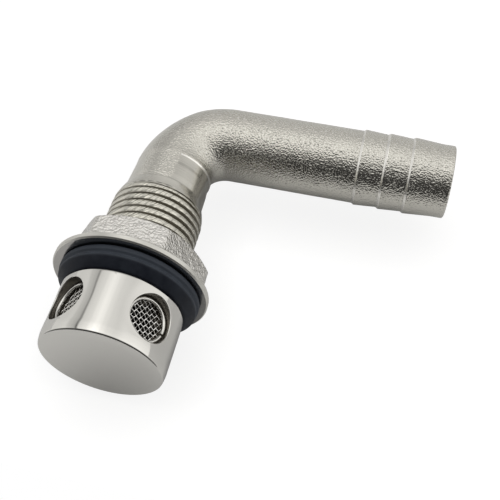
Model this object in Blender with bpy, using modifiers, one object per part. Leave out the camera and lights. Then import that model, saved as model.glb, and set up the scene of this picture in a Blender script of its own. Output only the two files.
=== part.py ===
"""Boat fuel vent: a through-hull fitting with a threaded shank, a 90 degree hose tail and a screened head.

A casting (threaded shank, elbow and barbed hose tail in one) carries a polished head that stays
outside the hull. A rubber gasket lies under the head's rim and a flanged nut clamps the hull from
inside. Each of the head's round windows holds a disc of woven wire behind a split wire ring, which
keeps a flame out of the tank and insects out of the hose.

Frame, in metres: the shank lies along Y with the head towards -Y, the hose tail points along +X,
and the origin is on the shank's axis at the gasket's hull side, where the hull skin goes.
"""

import math

import bpy
import bmesh
from mathutils import Euler, Matrix

MM = 0.001

# Clearances that seats and fits share, and how near two points become one
SEAT_GAP = 0.3 * MM
SHANK_CLEARANCE = 0.3 * MM
TRIM_GAP = 0.15 * MM
CUT_MARGIN = 1.0 * MM
WELD_DISTANCE = 0.001 * MM

# Gasket between the head's rim and the hull
GASKET_THICKNESS = 4.2 * MM
GASKET_RIDGE_RADIUS = 15.2 * MM
GASKET_RIDGE_WIDTH = 1.5 * MM
GASKET_LIP_RADIUS = 15.35 * MM
GASKET_LIP_WIDTH = 1.9 * MM
GASKET_GROOVE_RADIUS = 14.7 * MM

# Polished head, a cup with its open side towards the hull
HEAD_RADIUS = 13.3 * MM
HEAD_HEIGHT = 14.3 * MM
HEAD_EDGE_ROUND = 0.6 * MM
HEAD_FACE_WALL = 2.2 * MM
HEAD_WALL = 5.5 * MM
RIM_BREAK = 0.25 * MM

# Windows drilled across the head, each stepped to seat a screen
WINDOW_COUNT = 4
WINDOW_TURN = math.radians(42.4)
WINDOW_RADIUS = 4.95 * MM
WINDOW_FROM_RIM = 6.2 * MM
SCREEN_SEAT_DEPTH = 3.7 * MM
PORT_RADIUS = 3.9 * MM

# Woven screens
SCREEN_RADIUS = 4.55 * MM
WIRE_PITCH = 0.91 * MM
WIRE_RADIUS = 0.17 * MM
WIRE_BITE = 0.04 * MM
WIRE_STUB = 0.25 * MM
WEAVE_TURN = math.radians(-28.3)

# Split rings that hold the screens
RING_WIRE_RADIUS = 0.45 * MM
RING_SPLIT = math.radians(9.0)
RING_SPLIT_TURN = math.radians(166.0)

# Threaded shank and its turned neck
THREAD_DIAMETER = 20.955 * MM
THREAD_LENGTH = 22.3 * MM
RUNOUT_LENGTH = 7.4 * MM
NECK_RADIUS = 9.1 * MM
NECK_END_FROM_RIM = 36.6 * MM
NECK_LEAD = 0.4 * MM
SPIGOT_RADIUS = 8.2 * MM
SPIGOT_LENGTH = 2.2 * MM
BORE_RADIUS = 6.5 * MM

# Cast elbow and hose tail
TAIL_AXIS_FROM_RIM = 49.5 * MM
TAIL_REACH = 63.65 * MM
BEND_RADIUS = 12.1 * MM
ELBOW_RADIUS = 9.05 * MM
ELBOW_SHIFT = 0.2 * MM
TAIL_RADIUS = 8.5 * MM
BARB_COUNT = 3
BARB_RADIUS = 9.0 * MM
BARB_FOOT_RADIUS = 8.65 * MM
BARB_PITCH = 5.8 * MM
BARB_RAMP = 0.9 * MM
LAST_BARB_FROM_END = 9.4 * MM
TIP_RADIUS = 8.55 * MM
TIP_LENGTH = 3.0 * MM
END_ROUND = 0.4 * MM

# Flanged nut
NUT_HEIGHT = 8.7 * MM
NUT_SIDES = 6
NUT_ACROSS_FLATS = 27.0 * MM
NUT_CHAMFER_DEPTH = 1.5 * MM
NUT_END_RADIUS = 13.3 * MM
FLANGE_RADIUS = 17.15 * MM
FLANGE_RIM = 1.5 * MM
FLANGE_CROWN = 2.9 * MM
FLANGE_CROWN_RADIUS = 14.6 * MM
FLANGE_BREAK = 0.3 * MM

# Facets round each kind of piece
BODY_SIDES = 28
BORE_SIDES = 20
BEND_STEPS = 10
HEAD_SIDES = 48
WINDOW_SIDES = 24
ROUND_STEPS = 3
RING_STEPS = 16
RING_SIDES = 6
WIRE_SIDES = 4
SHARP_ANGLE = math.radians(32.0)

# Places along the shank that follow from the sizes
RIM_Y = -(GASKET_THICKNESS + SEAT_GAP)
FACE_Y = RIM_Y - HEAD_HEIGHT
WINDOW_Y = RIM_Y - WINDOW_FROM_RIM
THREAD_RADIUS = THREAD_DIAMETER / 2
THREAD_END_Y = RIM_Y + THREAD_LENGTH
NECK_START_Y = THREAD_END_Y + RUNOUT_LENGTH
NECK_END_Y = RIM_Y + NECK_END_FROM_RIM
TAIL_Y = RIM_Y + TAIL_AXIS_FROM_RIM
BEND_START_Y = TAIL_Y - BEND_RADIUS
SHANK_HOLE_RADIUS = THREAD_RADIUS + SHANK_CLEARANCE

# Distances from the shank's axis inside the head
CHAMBER_RADIUS = HEAD_RADIUS - HEAD_WALL
SCREEN_SEAT_DISTANCE = HEAD_RADIUS - SCREEN_SEAT_DEPTH

# A turned piece is drawn with its axis along its own Z, and this lays that axis along +Y
ALONG_SHANK = Euler((math.radians(-90.0), 0.0, 0.0))


def new_collection(name):
    collection = bpy.data.collections.new(name)
    bpy.context.scene.collection.children.link(collection)
    return collection


def new_material(name, colour, roughness, metallic):
    material = bpy.data.materials.new(name)
    material.use_nodes = True
    shader = material.node_tree.nodes["Principled BSDF"]
    shader.inputs["Base Color"].default_value = (*colour, 1.0)
    shader.inputs["Roughness"].default_value = roughness
    shader.inputs["Metallic"].default_value = metallic
    material.diffuse_color = (*colour, 1.0)
    return material


def new_object(name, data, collection):
    obj = bpy.data.objects.new(name, data)
    collection.objects.link(obj)
    return obj


def turned(name, outline, sides, collection, closed=False):
    """A solid turned from (radius, height) points, which run down its outer side."""
    mesh = bpy.data.meshes.new(name)
    count = len(outline)
    edges = [(i, i + 1) for i in range(count - 1)]
    if closed:
        edges.append((count - 1, 0))
    mesh.from_pydata([(radius, 0.0, height) for radius, height in outline], edges, [])
    obj = new_object(name, mesh, collection)
    screw = obj.modifiers.new("turn", "SCREW")
    screw.axis = "Z"
    screw.angle = math.tau
    screw.steps = sides
    screw.render_steps = sides
    screw.use_merge_vertices = True
    screw.merge_threshold = WELD_DISTANCE
    return obj


def swept(name, points, sides, collection):
    """A round bar along (x, y, z, radius) points, made a closed mesh."""
    curve = bpy.data.curves.new(name, "CURVE")
    curve.dimensions = "3D"
    curve.use_fill_caps = True
    curve.bevel_depth = 1.0 * MM
    curve.bevel_resolution = (sides - 4) // 2
    spline = curve.splines.new("POLY")
    spline.points.add(len(points) - 1)
    for point, (x, y, z, radius) in zip(spline.points, points):
        point.co = (x, y, z, 1.0)
        point.radius = radius / curve.bevel_depth
    guide = new_object(name + "_guide", curve, collection)
    bpy.context.view_layer.update()
    graph = bpy.context.evaluated_depsgraph_get()
    mesh = bpy.data.meshes.new_from_object(guide.evaluated_get(graph))
    bpy.data.objects.remove(guide)
    shape = bmesh.new()
    shape.from_mesh(mesh)
    bmesh.ops.remove_doubles(shape, verts=shape.verts, dist=WELD_DISTANCE)
    bmesh.ops.recalc_face_normals(shape, faces=shape.faces)
    shape.to_mesh(mesh)
    shape.free()
    mesh.name = name
    return new_object(name, mesh, collection)


def as_cutter(obj):
    obj.hide_render = True
    obj.display_type = "WIRE"
    return obj


def combine(obj, other, operation):
    boolean = obj.modifiers.new(operation.lower(), "BOOLEAN")
    boolean.operation = operation
    boolean.object = other
    boolean.solver = "EXACT"


def settle(obj, material):
    """Keeps the shape that the modifiers make, shaded smooth up to its sharp edges."""
    bpy.context.view_layer.update()
    graph = bpy.context.evaluated_depsgraph_get()
    mesh = bpy.data.meshes.new_from_object(obj.evaluated_get(graph))
    mesh.name = obj.name
    obj.modifiers.clear()
    obj.data = mesh
    mesh.materials.clear()
    mesh.materials.append(material)
    mesh.shade_smooth()
    mesh.set_sharp_from_angle(angle=SHARP_ANGLE)
    return obj


def arc(centre_radius, centre_height, size, start, end, steps):
    """Points of an arc of this size in a turned outline, by angle from the outward direction."""
    points = []
    for i in range(steps + 1):
        angle = start + (end - start) * i / steps
        radius = centre_radius + size * math.cos(angle)
        points.append((radius, centre_height + size * math.sin(angle)))
    return points


def make_gasket(parts, material):
    """Moulded rubber ring with a wide ridge at the hull side and a lip at the head's rim."""
    ridge_half = GASKET_RIDGE_WIDTH / 2
    lip_half = GASKET_LIP_WIDTH / 2
    quarter = math.pi / 2
    outline = [(SHANK_HOLE_RADIUS, 0.0)]
    ridge_centre = GASKET_RIDGE_RADIUS - ridge_half
    outline += arc(ridge_centre, -ridge_half, ridge_half, quarter, -quarter, ROUND_STEPS)
    outline.append((GASKET_GROOVE_RADIUS, -GASKET_RIDGE_WIDTH))
    outline.append((GASKET_GROOVE_RADIUS, -GASKET_THICKNESS + GASKET_LIP_WIDTH))
    lip_centre = GASKET_LIP_RADIUS - lip_half
    lip_height = -GASKET_THICKNESS + lip_half
    outline += arc(lip_centre, lip_height, lip_half, quarter, -quarter, ROUND_STEPS)
    outline.append((SHANK_HOLE_RADIUS, -GASKET_THICKNESS))
    gasket = turned("hull_gasket", outline, BODY_SIDES, parts, closed=True)
    gasket.rotation_euler = ALONG_SHANK
    return settle(gasket, material)


def make_window_axis(parts, number):
    """An empty on a window's axis: its Z points out of the window and its Y towards the head's face."""
    azimuth = WINDOW_TURN + math.tau * number / WINDOW_COUNT
    outward = (math.cos(azimuth), 0.0, math.sin(azimuth))
    sideways = (-math.sin(azimuth), 0.0, math.cos(azimuth))
    to_face = (0.0, -1.0, 0.0)
    axis = new_object(f"window_axis_{number + 1}", None, parts)
    turn = Matrix((sideways, to_face, outward)).transposed()
    axis.matrix_world = Matrix.Translation((0.0, WINDOW_Y, 0.0)) @ turn.to_4x4()
    return axis


def make_window_cutter(cutters, axis):
    """The step drill of one window: a wide recess for the screen and a port into the chamber."""
    outline = [
        (0.0, HEAD_RADIUS + CUT_MARGIN),
        (WINDOW_RADIUS, HEAD_RADIUS + CUT_MARGIN),
        (WINDOW_RADIUS, SCREEN_SEAT_DISTANCE),
        (PORT_RADIUS, SCREEN_SEAT_DISTANCE),
        (PORT_RADIUS, CHAMBER_RADIUS * math.cos(math.pi / 4)),
        (0.0, CHAMBER_RADIUS * math.cos(math.pi / 4)),
    ]
    cutter = turned(axis.name + "_drill", outline, WINDOW_SIDES, cutters)
    cutter.parent = axis
    return as_cutter(cutter)


def make_head(parts, cutters, window_axes, material):
    """Turned cup: socket for the shank's spigot, vent chamber, and windows all round."""
    floor_y = FACE_Y + HEAD_FACE_WALL
    socket_y = RIM_Y - SPIGOT_LENGTH - SEAT_GAP
    socket_radius = SPIGOT_RADIUS + SHANK_CLEARANCE
    outline = [
        (0.0, floor_y),
        (CHAMBER_RADIUS, floor_y),
        (CHAMBER_RADIUS, socket_y),
        (socket_radius, socket_y),
        (socket_radius, RIM_Y),
        (HEAD_RADIUS - RIM_BREAK, RIM_Y),
        (HEAD_RADIUS, RIM_Y - RIM_BREAK),
    ]
    edge_radius = HEAD_RADIUS - HEAD_EDGE_ROUND
    edge_y = FACE_Y + HEAD_EDGE_ROUND
    outline += arc(edge_radius, edge_y, HEAD_EDGE_ROUND, 0.0, -math.pi / 2, ROUND_STEPS)
    outline.append((0.0, FACE_Y))
    head = turned("vent_head", outline, HEAD_SIDES, parts)
    head.rotation_euler = ALONG_SHANK
    for axis in window_axes:
        combine(head, make_window_cutter(cutters, axis), "DIFFERENCE")
    return settle(head, material)


def wire_reach(offset, radius):
    """Half the length of a screen wire that lies this far from the middle of its disc."""
    reach = math.sqrt(radius**2 - offset**2)
    last_crossing = WIRE_PITCH * math.floor(reach / WIRE_PITCH)
    return max(reach, last_crossing + WIRE_STUB)


def crimped_wires(name, along_x, collection):
    """All wires of one direction: each rises over one crossing wire and dips under the next."""
    crimp = WIRE_RADIUS - WIRE_BITE
    disc_radius = SCREEN_RADIUS - WIRE_STUB
    most = math.floor((disc_radius - WIRE_STUB) / WIRE_PITCH)
    shape = bmesh.new()
    for row in range(-most, most + 1):
        offset = row * WIRE_PITCH
        reach = wire_reach(offset, disc_radius)
        crossings = math.floor(reach / WIRE_PITCH)
        route = [(-reach, 0.0)]
        for column in range(-crossings, crossings + 1):
            over = (row + column) % 2 == 0
            height = crimp if over == along_x else -crimp
            route.append((column * WIRE_PITCH, height))
        route.append((reach, 0.0))
        points = []
        for distance, height in route:
            x, y = (distance, offset) if along_x else (offset, distance)
            points.append((x, y, height, WIRE_RADIUS))
        wire = swept(name, points, WIRE_SIDES, collection)
        shape.from_mesh(wire.data)
        bpy.data.objects.remove(wire)
    mesh = bpy.data.meshes.new(name)
    shape.to_mesh(mesh)
    shape.free()
    return new_object(name, mesh, collection)


def make_screens(parts, cutters, window_axes, material):
    """One woven disc behind each window, all from the same piece of cloth."""
    weft = as_cutter(crimped_wires("screen_weft", False, cutters))
    screen_half = 2 * WIRE_RADIUS - WIRE_BITE
    screens = []
    for number, axis in enumerate(window_axes, 1):
        name = f"woven_screen_{number}"
        if screens:
            screen = new_object(name, screens[0].data, parts)
        else:
            screen = crimped_wires(name, True, parts)
            combine(screen, weft, "UNION")
            settle(screen, material)
        screen.parent = axis
        screen.location = (0.0, 0.0, SCREEN_SEAT_DISTANCE + TRIM_GAP + screen_half)
        screen.rotation_euler = (0.0, 0.0, WEAVE_TURN)
        screens.append(screen)
    return screens


def make_snap_rings(parts, window_axes, material):
    """Split wire ring sprung into each window's recess, in front of its screen."""
    ring_radius = WINDOW_RADIUS - TRIM_GAP - RING_WIRE_RADIUS
    screen_depth = 2 * (2 * WIRE_RADIUS - WIRE_BITE)
    distance = SCREEN_SEAT_DISTANCE + 2 * TRIM_GAP + screen_depth + RING_WIRE_RADIUS
    points = []
    for i in range(RING_STEPS + 1):
        angle = RING_SPLIT / 2 + (math.tau - RING_SPLIT) * i / RING_STEPS
        x = ring_radius * math.cos(angle)
        y = ring_radius * math.sin(angle)
        points.append((x, y, 0.0, RING_WIRE_RADIUS))
    shared = None
    for number, axis in enumerate(window_axes, 1):
        name = f"snap_ring_{number}"
        if shared is None:
            ring = settle(swept(name, points, RING_SIDES, parts), material)
            shared = ring.data
        else:
            ring = new_object(name, shared, parts)
        ring.parent = axis
        ring.location = (0.0, 0.0, distance)
        ring.rotation_euler = (0.0, 0.0, RING_SPLIT_TURN)


def bend_route(shift, radius_at_start, radius_at_end):
    """The quarter bend from the shank's axis to the tail's, as (x, y, z, radius) points."""
    centre_x = shift + BEND_RADIUS
    points = []
    for i in range(BEND_STEPS + 1):
        part = i / BEND_STEPS
        angle = math.pi / 2 * part
        x = centre_x - BEND_RADIUS * math.cos(angle)
        y = BEND_START_Y + BEND_RADIUS * math.sin(angle)
        points.append((x, y, 0.0, radius_at_start + (radius_at_end - radius_at_start) * part))
    return points


def tail_route():
    """The hose tail from the bend to its open end: barbs that slope down towards the end."""
    points = []
    for number in range(BARB_COUNT):
        crest_x = TAIL_REACH - LAST_BARB_FROM_END - BARB_PITCH * (BARB_COUNT - 1 - number)
        foot_radius = TAIL_RADIUS if number == 0 else BARB_FOOT_RADIUS
        points.append((crest_x - BARB_RAMP, TAIL_Y, 0.0, foot_radius))
        points.append((crest_x, TAIL_Y, 0.0, BARB_RADIUS))
    points.append((TAIL_REACH - TIP_LENGTH, TAIL_Y, 0.0, TIP_RADIUS))
    points.append((TAIL_REACH - END_ROUND, TAIL_Y, 0.0, TIP_RADIUS))
    points.append((TAIL_REACH, TAIL_Y, 0.0, TIP_RADIUS - END_ROUND))
    return points


def shank_outline():
    """Spigot, threaded length at its full diameter, and the cone where the thread runs out."""
    cone = (THREAD_RADIUS - NECK_RADIUS) / RUNOUT_LENGTH
    inside_elbow = ELBOW_RADIUS - ELBOW_SHIFT - SEAT_GAP
    cone_end_y = NECK_START_Y + (NECK_RADIUS - inside_elbow) / cone
    shoulder_y = RIM_Y + SEAT_GAP
    return [
        (0.0, cone_end_y),
        (inside_elbow, cone_end_y),
        (THREAD_RADIUS, THREAD_END_Y),
        (THREAD_RADIUS, shoulder_y),
        (SPIGOT_RADIUS, shoulder_y),
        (SPIGOT_RADIUS, RIM_Y - SPIGOT_LENGTH),
        (0.0, RIM_Y - SPIGOT_LENGTH),
    ]


def make_body(parts, cutters, material):
    """One casting: shank, elbow and tail, with the neck turned down and the bore right through."""
    body = turned("vent_body", shank_outline(), BODY_SIDES, parts)
    body.rotation_euler = ALONG_SHANK

    elbow_start = (ELBOW_SHIFT, THREAD_END_Y - RUNOUT_LENGTH, 0.0, ELBOW_RADIUS)
    elbow_route = [elbow_start] + bend_route(ELBOW_SHIFT, ELBOW_RADIUS, TAIL_RADIUS)
    elbow = as_cutter(swept("elbow_and_tail", elbow_route + tail_route(), BODY_SIDES, cutters))
    combine(body, elbow, "UNION")

    beyond = ELBOW_RADIUS + ELBOW_SHIFT + CUT_MARGIN
    groove_outline = [
        (NECK_RADIUS, NECK_END_Y),
        (beyond, NECK_END_Y),
        (beyond, NECK_START_Y - NECK_LEAD),
        (NECK_RADIUS, NECK_START_Y - NECK_LEAD),
    ]
    groove = as_cutter(turned("neck_groove", groove_outline, BODY_SIDES, cutters, closed=True))
    groove.rotation_euler = ALONG_SHANK
    combine(body, groove, "DIFFERENCE")

    bore_start = (0.0, RIM_Y - SPIGOT_LENGTH - CUT_MARGIN, 0.0, BORE_RADIUS)
    bore_end = (TAIL_REACH + CUT_MARGIN, TAIL_Y, 0.0, BORE_RADIUS)
    bore_route = [bore_start] + bend_route(0.0, BORE_RADIUS, BORE_RADIUS) + [bore_end]
    combine(body, as_cutter(swept("bore", bore_route, BORE_SIDES, cutters)), "DIFFERENCE")
    return settle(body, material)


def make_nut(parts, cutters, material):
    """Hexagon with a round flange in one piece, with a chamfered end and a clearance bore."""
    corner_radius = NUT_ACROSS_FLATS / 2 / math.cos(math.pi / NUT_SIDES)
    hexagon = [(0.0, NUT_HEIGHT), (corner_radius, NUT_HEIGHT), (corner_radius, 0.0), (0.0, 0.0)]
    nut = turned("flange_nut", hexagon, NUT_SIDES, parts)

    chamfer_outline = [
        (0.0, NUT_HEIGHT),
        (NUT_END_RADIUS, NUT_HEIGHT),
        (corner_radius, NUT_HEIGHT - NUT_CHAMFER_DEPTH),
        (corner_radius + CUT_MARGIN, NUT_HEIGHT - NUT_CHAMFER_DEPTH - CUT_MARGIN),
        (corner_radius + CUT_MARGIN, FLANGE_RIM / 2),
        (0.0, FLANGE_RIM / 2),
    ]
    flange_outline = [
        (0.0, FLANGE_CROWN),
        (FLANGE_CROWN_RADIUS, FLANGE_CROWN),
        (FLANGE_RADIUS - FLANGE_BREAK, FLANGE_RIM),
        (FLANGE_RADIUS, FLANGE_RIM - FLANGE_BREAK),
        (FLANGE_RADIUS, FLANGE_BREAK),
        (FLANGE_RADIUS - FLANGE_BREAK, 0.0),
        (0.0, 0.0),
    ]
    bore_outline = [
        (0.0, NUT_HEIGHT + CUT_MARGIN),
        (SHANK_HOLE_RADIUS, NUT_HEIGHT + CUT_MARGIN),
        (SHANK_HOLE_RADIUS, -CUT_MARGIN),
        (0.0, -CUT_MARGIN),
    ]
    chamfer = as_cutter(turned("nut_chamfer", chamfer_outline, BODY_SIDES, cutters))
    flange = as_cutter(turned("nut_flange", flange_outline, HEAD_SIDES, cutters))
    bore = as_cutter(turned("nut_bore", bore_outline, BODY_SIDES, cutters))
    for obj in (nut, chamfer, flange, bore):
        obj.rotation_euler = ALONG_SHANK
        obj.location = (0.0, SEAT_GAP, 0.0)
    combine(nut, chamfer, "INTERSECT")
    combine(nut, flange, "UNION")
    combine(nut, bore, "DIFFERENCE")
    return settle(nut, material)


def main():
    for obj in list(bpy.data.objects):
        bpy.data.objects.remove(obj)
    parts = new_collection("boat_fuel_vent")
    cutters = new_collection("cutters")

    blasted = new_material("blasted_stainless", (0.62, 0.60, 0.56), 0.42, 1.0)
    polished = new_material("polished_stainless", (0.78, 0.77, 0.74), 0.08, 1.0)
    cast = new_material("cast_stainless", (0.66, 0.65, 0.61), 0.5, 1.0)
    wire = new_material("bright_wire", (0.80, 0.79, 0.77), 0.22, 1.0)
    spring_wire = new_material("spring_wire", (0.72, 0.71, 0.68), 0.18, 1.0)
    rubber = new_material("black_rubber", (0.02, 0.021, 0.024), 0.55, 0.0)

    window_axes = [make_window_axis(parts, number) for number in range(WINDOW_COUNT)]
    make_body(parts, cutters, blasted)
    make_head(parts, cutters, window_axes, polished)
    make_gasket(parts, rubber)
    make_nut(parts, cutters, cast)
    make_screens(parts, cutters, window_axes, wire)
    make_snap_rings(parts, window_axes, spring_wire)


main()
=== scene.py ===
"""Looks of a boat fuel vent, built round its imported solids.

The vent lies on a white table as in the photo: the polished head at the near left with its black
gasket and flanged nut behind it, then the threaded shank, and the cast elbow with the barbed hose
tail running off to the right. Frame: shank along +Y, hose tail along +X, metres.
"""

import math

import bmesh
import bpy
from mathutils import Matrix, Vector, noise


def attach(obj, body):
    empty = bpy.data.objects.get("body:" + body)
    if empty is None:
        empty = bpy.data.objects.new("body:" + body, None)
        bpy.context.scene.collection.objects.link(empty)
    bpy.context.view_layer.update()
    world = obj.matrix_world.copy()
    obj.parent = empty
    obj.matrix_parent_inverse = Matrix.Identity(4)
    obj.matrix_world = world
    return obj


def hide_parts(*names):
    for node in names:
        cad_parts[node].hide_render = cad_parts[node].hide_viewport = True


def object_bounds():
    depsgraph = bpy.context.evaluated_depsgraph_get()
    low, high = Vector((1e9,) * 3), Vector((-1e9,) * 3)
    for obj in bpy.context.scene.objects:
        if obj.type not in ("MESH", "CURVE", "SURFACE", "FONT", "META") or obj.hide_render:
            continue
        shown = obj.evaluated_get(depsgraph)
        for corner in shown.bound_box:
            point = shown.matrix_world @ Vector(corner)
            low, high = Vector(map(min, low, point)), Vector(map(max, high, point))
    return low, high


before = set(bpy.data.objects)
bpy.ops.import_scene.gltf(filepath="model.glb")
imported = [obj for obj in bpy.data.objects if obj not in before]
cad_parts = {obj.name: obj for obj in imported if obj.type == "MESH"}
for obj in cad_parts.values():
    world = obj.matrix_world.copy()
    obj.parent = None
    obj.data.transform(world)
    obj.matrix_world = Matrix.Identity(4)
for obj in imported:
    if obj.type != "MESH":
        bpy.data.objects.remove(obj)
cad_low, cad_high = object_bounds()

# The photo was taken from about 165 mm away, looking down on the table at 54 degrees. Place, turn
# and lens were fitted to the round rims, the windows, the hexagon and the tail.
MM = 0.001
CAMERA_PLACE = Vector((47.10, -84.32, 142.84)) * MM
CAMERA_TURN = (35.741, 0.307, 13.259)
CAMERA_LENS_MM = 57.59
SENSOR_MM = 36.0


def make_camera():
    data = bpy.data.cameras.new("camera")
    data.lens = CAMERA_LENS_MM
    data.sensor_width = SENSOR_MM
    data.clip_start = 10 * MM
    camera = bpy.data.objects.new("camera", data)
    camera.location = CAMERA_PLACE
    camera.rotation_euler = [math.radians(angle) for angle in CAMERA_TURN]
    bpy.context.scene.collection.objects.link(camera)
    bpy.context.scene.camera = camera
    bpy.context.scene.view_settings.view_transform = "Standard"


make_camera()

# The vent lay on white paper in a light tent: bright walls all round with a seam up the left, a
# brighter roof, and an opening in front to a dark room, which the steel shows as its dark bands.
# Walls: degrees round the shank from the right, and light. Depths: how far a direction points from
# the opening (-1) to the back wall (1), and light. The paper ends just below the picture.
TENT_WALLS = [
    (0, 0.97),
    (28, 1.04),
    (47, 1.02),
    (68, 0.86),
    (80, 0.92),
    (90, 1.08),
    (96, 1.28),
    (102, 1.37),
    (109, 1.20),
    (117, 0.96),
    (128, 0.82),
    (132, 0.12),
    (136, 0.50),
    (146, 0.62),
    (154, 0.80),
    (172, 0.75),
    (230, 0.92),
]
TENT_DEPTHS = [
    (-1.0, 0.05),
    (-0.85, 0.05),
    (-0.62, 0.11),
    (-0.45, 0.42),
    (-0.28, 0.92),
    (-0.05, 1.26),
    (0.25, 1.14),
    (0.43, 1.04),
    (0.60, 0.88),
    (0.74, 0.52),
    (0.90, 0.66),
    (1.0, 0.82),
]
LIGHTEST = 1.5
TENT_CLOTH = (1.0, 0.992, 0.965)
TABLE_LOW = Vector((-600, -37)) * MM
TABLE_HIGH = Vector((700, 700)) * MM
PAPER = 0.88
PAPER_UNEVEN = 0.01
FIBRES_PER_METRE = 900.0
PAPER_ROUGHNESS = 0.6
PAPER_WHITE = 1.3
# Reach of the painted shade on the paper round the vent
SHADE_REACH = 17 * MM
WHITE_TO_CAMERA = 0.66
WHITE_IN_METAL = 0.04


def add_node(tree, kind, inputs=None, **settings):
    """A shader node; an input given another node's socket is linked to it."""
    made = tree.nodes.new(kind)
    for name, value in settings.items():
        setattr(made, name, value)
    for name, value in (inputs or {}).items():
        if isinstance(value, bpy.types.NodeSocket):
            tree.links.new(value, made.inputs[name])
        else:
            made.inputs[name].default_value = value
    return made


def math_node(tree, operation, first, second=0.0):
    made = tree.nodes.new("ShaderNodeMath")
    made.operation = operation
    for socket, value in zip(made.inputs, (first, second)):
        if isinstance(value, bpy.types.NodeSocket):
            tree.links.new(value, socket)
        else:
            socket.default_value = value
    return made.outputs[0]


def light_by(tree, value, stops, first, last):
    """The light of the nearest stops, eased between them. Stops run from first to last."""
    made = add_node(
        tree, "ShaderNodeMapRange", {"Value": value, "From Min": first, "From Max": last}
    )
    ramp = tree.nodes.new("ShaderNodeValToRGB")
    ramp.color_ramp.interpolation = "EASE"
    tree.links.new(made.outputs["Result"], ramp.inputs["Fac"])
    marks = ramp.color_ramp.elements
    while len(marks) < len(stops):
        marks.new(1.0)
    for mark, (place, light) in zip(marks, stops):
        mark.position = (place - first) / (last - first)
        mark.color = (*[light / LIGHTEST] * 3, 1.0)
    return math_node(tree, "MULTIPLY", ramp.outputs["Color"], LIGHTEST)


def make_tent():
    world = bpy.data.worlds.new("light_tent")
    bpy.context.scene.world = world
    world.use_nodes = True
    tree = world.node_tree
    tree.nodes.clear()
    place = add_node(tree, "ShaderNodeTexCoord")
    towards = add_node(tree, "ShaderNodeSeparateXYZ", {0: place.outputs["Generated"]})
    depth = towards.outputs["Y"]
    turn = math_node(tree, "ARCTAN2", towards.outputs["Z"], towards.outputs["X"])
    turn = math_node(tree, "MODULO", math_node(tree, "ADD", turn, math.tau), math.tau)
    walls = [(math.radians(degrees), light) for degrees, light in TENT_WALLS]
    round_it = light_by(tree, turn, walls, 0.0, math.tau)
    sideways = math_node(tree, "SUBTRACT", 1.0, math_node(tree, "MULTIPLY", depth, depth))
    uneven = math_node(tree, "MULTIPLY", math_node(tree, "SUBTRACT", round_it, 1.0), sideways)
    along = light_by(tree, depth, TENT_DEPTHS, -1.0, 1.0)
    strength = math_node(tree, "MULTIPLY", along, math_node(tree, "ADD", uneven, 1.0))
    inputs = {"Color": (*TENT_CLOTH, 1.0), "Strength": strength}
    tent = add_node(tree, "ShaderNodeBackground", inputs)
    inputs = {"Color": (1.0, 1.0, 1.0, 1.0), "Strength": 1.0}
    white = add_node(tree, "ShaderNodeBackground", inputs)
    path = tree.nodes.new("ShaderNodeLightPath")
    mix = add_node(
        tree,
        "ShaderNodeMixShader",
        {0: path.outputs["Is Camera Ray"], 1: tent.outputs[0], 2: white.outputs[0]},
    )
    add_node(tree, "ShaderNodeOutputWorld", {"Surface": mix.outputs[0]})


def make_table():
    material = bpy.data.materials.new("white_paper")
    material.use_nodes = True
    tree = material.node_tree
    tree.nodes.clear()
    fibre = add_node(tree, "ShaderNodeTexNoise", {"Scale": FIBRES_PER_METRE, "Detail": 3.0})
    inputs = {"Value": fibre.outputs["Fac"]}
    inputs.update({"To Min": PAPER - PAPER_UNEVEN, "To Max": PAPER + PAPER_UNEVEN})
    shade = add_node(tree, "ShaderNodeMapRange", inputs)
    # The paper is darkened by ambient occlusion near the vent: painted shade round and under it.
    painted_contact_shade = add_node(tree, "ShaderNodeAmbientOcclusion", {"Distance": SHADE_REACH})
    shade = math_node(tree, "MULTIPLY", shade.outputs["Result"], painted_contact_shade.outputs["AO"])
    inputs = {"Color": shade, "Roughness": PAPER_ROUGHNESS}
    paper = add_node(tree, "ShaderNodeBsdfDiffuse", inputs)
    white = add_node(tree, "ShaderNodeEmission", {"Strength": PAPER_WHITE})
    path = tree.nodes.new("ShaderNodeLightPath")
    through = path.outputs["Is Transmission Ray"]
    mirrored = math_node(tree, "MAXIMUM", path.outputs["Is Glossy Ray"], through)
    straight = math_node(tree, "MULTIPLY", path.outputs["Is Camera Ray"], WHITE_TO_CAMERA)
    bounced = math_node(tree, "MULTIPLY", mirrored, WHITE_IN_METAL)
    share = math_node(tree, "ADD", straight, bounced)
    both = add_node(
        tree, "ShaderNodeMixShader", {0: share, 1: paper.outputs[0], 2: white.outputs[0]}
    )
    add_node(tree, "ShaderNodeOutputMaterial", {"Surface": both.outputs[0]})
    mesh = bpy.data.meshes.new("table")
    corners = [(TABLE_LOW.x, TABLE_LOW.y, 0), (TABLE_HIGH.x, TABLE_LOW.y, 0)]
    corners += [(TABLE_HIGH.x, TABLE_HIGH.y, 0), (TABLE_LOW.x, TABLE_HIGH.y, 0)]
    mesh.from_pydata(corners, [], [(0, 1, 2, 3)])
    mesh.materials.append(material)
    table = bpy.data.objects.new("table", mesh)
    table.location.z = cad_low.z
    bpy.context.scene.collection.objects.link(table)


make_tent()
make_table()

# The shank, elbow and tail are one stainless casting. The shank is turned and threaded, the neck
# behind the thread is turned only where the casting stood proud of the tool, and the rest is left
# bead blasted. It carries everything else.
BODY_SIDES = 192
WELD_DISTANCE = 0.0005 * MM

# Spigot in the head, and the shoulder that the head stands on
RIM_Y = -4.5 * MM
SPIGOT_RADIUS = 8.2 * MM
SPIGOT_END_Y = RIM_Y - 2.2 * MM
SHOULDER_Y = RIM_Y + 0.3 * MM
SHOULDER_CHAMFER = 0.3 * MM
SHOULDER_STEP = 0.6 * MM

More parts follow.
